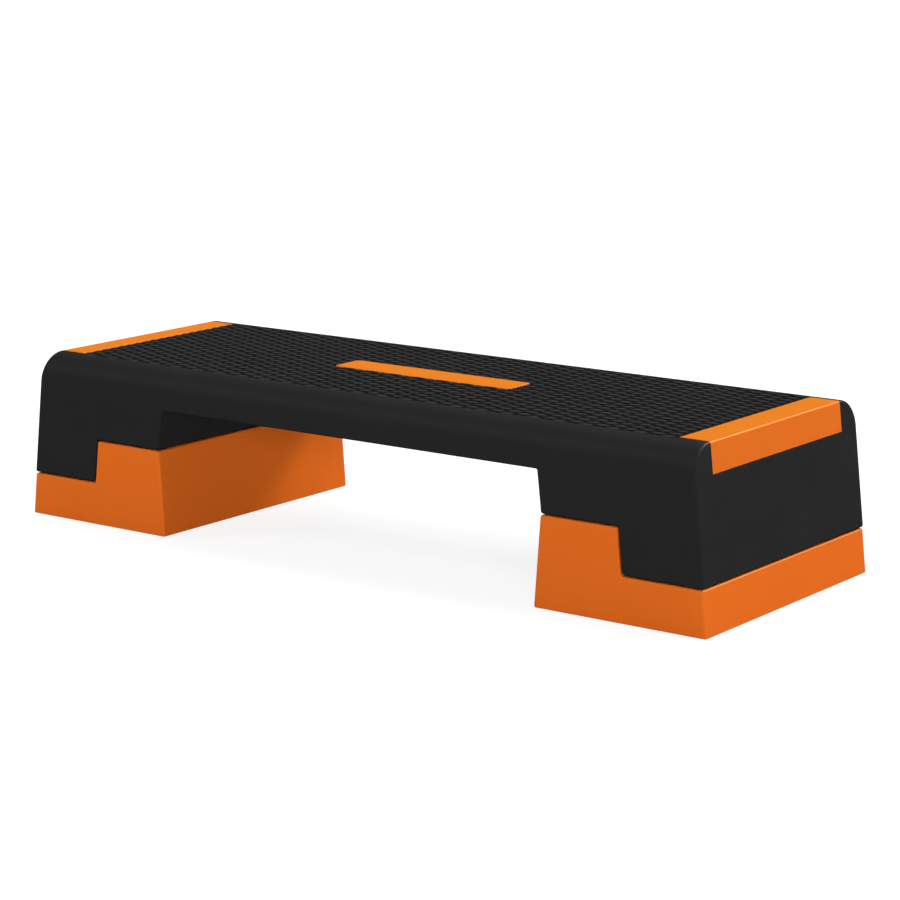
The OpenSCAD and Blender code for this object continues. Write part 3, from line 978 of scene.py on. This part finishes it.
def turned(profile, x, y):
    """Points and faces of a profile of (radius, z), turned about an upright axis. Its two
    ends lie on the axis."""
    points = [(x, y, profile[0][1])]
    for radius, z in profile[1:-1]:
        points += [(u, v, z) for u, v in circle(x, y, radius)]
    points.append((x, y, profile[-1][1]))
    starts = [1 + ring * TURN_STEPS for ring in range(len(profile) - 2)]
    faces = []
    for i in range(TURN_STEPS):
        j = (i + 1) % TURN_STEPS
        faces.append(("skin", (0, 1 + j, 1 + i)))
        for low, high in zip(starts, starts[1:]):
            faces.append(("skin", (low + i, low + j, high + j, high + i)))
        faces.append(("skin", (starts[-1] + i, starts[-1] + j, len(points) - 1)))
    return points, faces


def foot_shape(step, node, seat):
    """A rubber foot in the room of its packed node: a pad up to the height seat, with a
    dimple and two ring grooves in its underside, and a stem with a blunt point"""
    foot = step.foot
    low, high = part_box(node)
    x, y = centre(node)[:2]
    pad, stem, edge = (high.x - low.x) / 2, foot.stem_diameter / 2, foot.edge_radius
    depth, slant = foot.ring_depth, foot.ring_depth / 2
    profile = [(0, low.z + depth), (DIMPLE * pad, low.z + depth),
               (DIMPLE * pad + slant, low.z)]
    for ring in RINGS:
        inside, outside = (ring - RING_HALF) * pad, (ring + RING_HALF) * pad
        profile += [(inside - slant, low.z), (inside, low.z + depth),
                    (outside, low.z + depth), (outside + slant, low.z)]
    profile += [(pad - inward, low.z + rise)
                for inward, rise in quarter_round(edge, EDGE_STEPS)]
    lip, tip = LIP * edge, TIP * edge
    profile += [(pad, seat - lip), (pad - lip, seat), (stem, seat),
                (stem, high.z - tip), (stem - tip, high.z), (0, high.z)]
    return turned(profile, x, y)


# The floor, the room and the lamps
def seen(wire):
    """1 for what the camera sees, straight or in a reflection or through glass, else 0"""
    rays = [wire.node("ShaderNodeLightPath", output=name)
            for name in ("Is Camera Ray", "Is Glossy Ray", "Is Transmission Ray")]
    return rays[0].either(rays[1]).either(rays[2])


def pale_floor(step):
    """A pale floor that looks white, and keeps the shadow that the platform throws"""
    material = bpy.data.materials.new("pale floor")
    wire = blank_tree(material)
    lamp_lit = wire.node("ShaderNodeBsdfDiffuse", inputs={
        "Color": tinted(step.finish.floor)})
    shown = wire.node("ShaderNodeBsdfDiffuse", inputs={
        "Color": tinted(step.finish.floor, FLOOR_SHOWN)})
    glow = wire.node("ShaderNodeEmission", inputs={"Color": WHITE,
                                                   "Strength": step.stage.floor_glow})
    white = wire.node("ShaderNodeAddShader", inputs={0: shown, 1: glow})
    mix_shaders(wire, seen(wire), lamp_lit, white)
    return material


def studio_room(step):
    """An even, soft light from all round, white where the camera sees past the floor"""
    world = bpy.data.worlds.new("studio")
    wire = blank_tree(world)
    dim = wire.node("ShaderNodeBackground", inputs={"Color": WHITE,
                                                    "Strength": step.stage.room})
    white = wire.node("ShaderNodeBackground", inputs={"Color": WHITE, "Strength": 1.0})
    mix_shaders(wire, seen(wire), dim, white, "ShaderNodeOutputWorld")
    return world


def lamp(stage, name):
    """A far, soft lamp. Its azimuth is 0 in front of the platform and 90 on the right."""
    azimuth = getattr(stage, f"{name}_azimuth")
    elevation = getattr(stage, f"{name}_elevation")
    light = bpy.data.lights.new(f"{name} lamp", "SUN")
    light.energy, light.angle = getattr(stage, name), getattr(stage, f"{name}_spread")
    made = placed(light.name, light)
    # the front lamp isn't mirrored, and the glint lamp lights nothing but mirrors
    made.visible_glossy = name != "front"
    made.visible_diffuse = name != "glint"
    towards = Vector((math.sin(azimuth) * math.cos(elevation),
                      -math.cos(azimuth) * math.cos(elevation), math.sin(elevation)))
    made.location = towards * LAMP_DISTANCE
    made.rotation_euler = towards.to_track_quat("Z", "Y").to_euler()


# The commands
class STEP_OT_deck(bpy.types.Operator):
    """Build the deck shell, with its ribs, foot tubes and trim recess"""
    bl_idname = "step_platform.deck"
    bl_label = "Deck Shell"

    def execute(self, context):
        step = context.scene.step_platform
        piece = deck_outside(step)
        combine(piece, "DIFFERENCE", deck_rooms(step))
        combine(piece, "UNION", deck_ribs(step))
        combine(piece, "DIFFERENCE", deck_cuts(step))
        finished(piece, black_plastic(step), "deck", "black_plastic", "deck_shell")
        return {"FINISHED"}


class STEP_OT_tread(bpy.types.Operator):
    """Build the tread mat, with its pads and the window for the inlay"""
    bl_idname = "step_platform.tread"
    bl_label = "Tread Mat"

    def execute(self, context):
        step = context.scene.step_platform
        piece = tread_sheet(step)
        combine(piece, "INTERSECT", [mat_block(step)])
        window = upright(inlay_outline(step, step.trim.clearance),
                         Faces(step).trim_floor - CUT, step.body.height + CUT)
        combine(piece, "DIFFERENCE", [solid("window", window)])
        finished(piece, tread_rubber(step), "deck", "tread_rubber", "tread_mat")
        return {"FINISHED"}


class STEP_OT_trim(bpy.types.Operator):
    """Build the centre inlay and the two end strips"""
    bl_idname = "step_platform.trim"
    bl_label = "Orange Trim"

    def execute(self, context):
        step = context.scene.step_platform
        material = orange_trim(step)
        edge = step.trim.edge_radius
        radii = {("lap", "side"): edge, ("lap", "lap"): edge, ("end", "skin"): edge}
        inlay = upright(inlay_outline(step, 0), Faces(step).trim_floor, step.body.height)
        finished(solid("step_centre_inlay", inlay, radii, TRIM_STEPS), material, "deck",
                 "orange_trim", "centre_inlay")
        for side, end in (("left", -1), ("right", 1)):
            piece = strip(step, f"step_{side}_end_strip", end, radii=radii)
            finished(piece, material, "deck", "orange_trim", f"{side}_end_strip")
        return {"FINISHED"}


class STEP_OT_risers(bpy.types.Operator):
    """Build the two risers, with their ribs, sockets and foot tubes"""
    bl_idname = "step_platform.risers"
    bl_label = "Risers"

    def execute(self, context):
        step = context.scene.step_platform
        material = orange_plastic(step)
        for side in ("left", "right"):
            node = f"{side}_riser"
            finished(riser_shell(step, side), material, node, "orange_plastic", node)
        return {"FINISHED"}


class STEP_OT_feet(bpy.types.Operator):
    """Build the deck's four rubber feet and the eight under the risers"""
    bl_idname = "step_platform.feet"
    bl_label = "Rubber Feet"

    def execute(self, context):
        step = context.scene.step_platform
        material = foot_rubber(step)
        faces = Faces(step)
        for node in sorted(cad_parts):
            body, foot, _ = node.partition("_foot_")
            if foot:
                seat = faces.deck_seat if body == "deck" else faces.riser_seat
                piece = solid(f"step_{node}", foot_shape(step, node, seat))
                finished(piece, material, body, "foot_rubber", node)
        return {"FINISHED"}


class STEP_OT_stage(bpy.types.Operator):
    """Set up the camera, the floor, the room's light and the lamps"""
    bl_idname = "step_platform.stage"
    bl_label = "Studio Stage"

    def execute(self, context):
        scene = context.scene
        step = scene.step_platform
        stage = step.stage
        camera = bpy.data.cameras.new("camera")
        camera.lens = stage.lens
        camera.clip_end = 2 * FLOOR_REACH
        viewer = placed("camera", camera)
        viewer.location = stage.camera_place
        viewer.rotation_euler = stage.camera_turn
        scene.camera = viewer
        corners = [(x, y, 0) for x, y in box_outline(FLOOR_REACH, FLOOR_REACH)]
        mesh = bpy.data.meshes.new("floor")
        mesh.from_pydata(corners, [], [(0, 1, 2, 3)])
        mesh.materials.append(pale_floor(step))
        placed("floor", mesh)
        for name in LAMPS:
            lamp(stage, name)
        scene.world = studio_room(step)
        scene.view_settings.view_transform = "Standard"
        return {"FINISHED"}


class STEP_PT_platform(bpy.types.Panel):
    """The step platform's commands and values"""
    bl_idname = "STEP_PT_platform"
    bl_label = "Step Platform"
    bl_space_type = "VIEW_3D"
    bl_region_type = "UI"
    bl_category = "Step Platform"

    def draw(self, context):
        for command in COMMANDS:
            self.layout.operator(command.bl_idname)
        step = context.scene.step_platform
        for group in StepPlatform.__annotations__:
            box = self.layout.box()
            box.label(text=StepPlatform.bl_rna.properties[group].name)
            values = getattr(step, group)
            for value in type(values).__annotations__:
                box.prop(values, value)


GROUPS = (StepPlatformSizes, StepDeckSizes, StepRiserSizes, StepTreadSizes, StepTrimSizes,
          StepFootSizes, StepFinishes, StepStage, StepPlatform)
COMMANDS = (STEP_OT_deck, STEP_OT_tread, STEP_OT_trim, STEP_OT_risers, STEP_OT_feet,
            STEP_OT_stage)


def register():
    for item in (*GROUPS, *COMMANDS, STEP_PT_platform):
        bpy.utils.register_class(item)
    bpy.types.Scene.step_platform = bpy.props.PointerProperty(type=StepPlatform)


def unregister():
    del bpy.types.Scene.step_platform
    for item in reversed((*GROUPS, *COMMANDS, STEP_PT_platform)):
        bpy.utils.unregister_class(item)


def main():
    register()
    for command in COMMANDS:
        family, name = command.bl_idname.split(".")
        getattr(getattr(bpy.ops, family), name)()


if __name__ == "__main__":
    main()
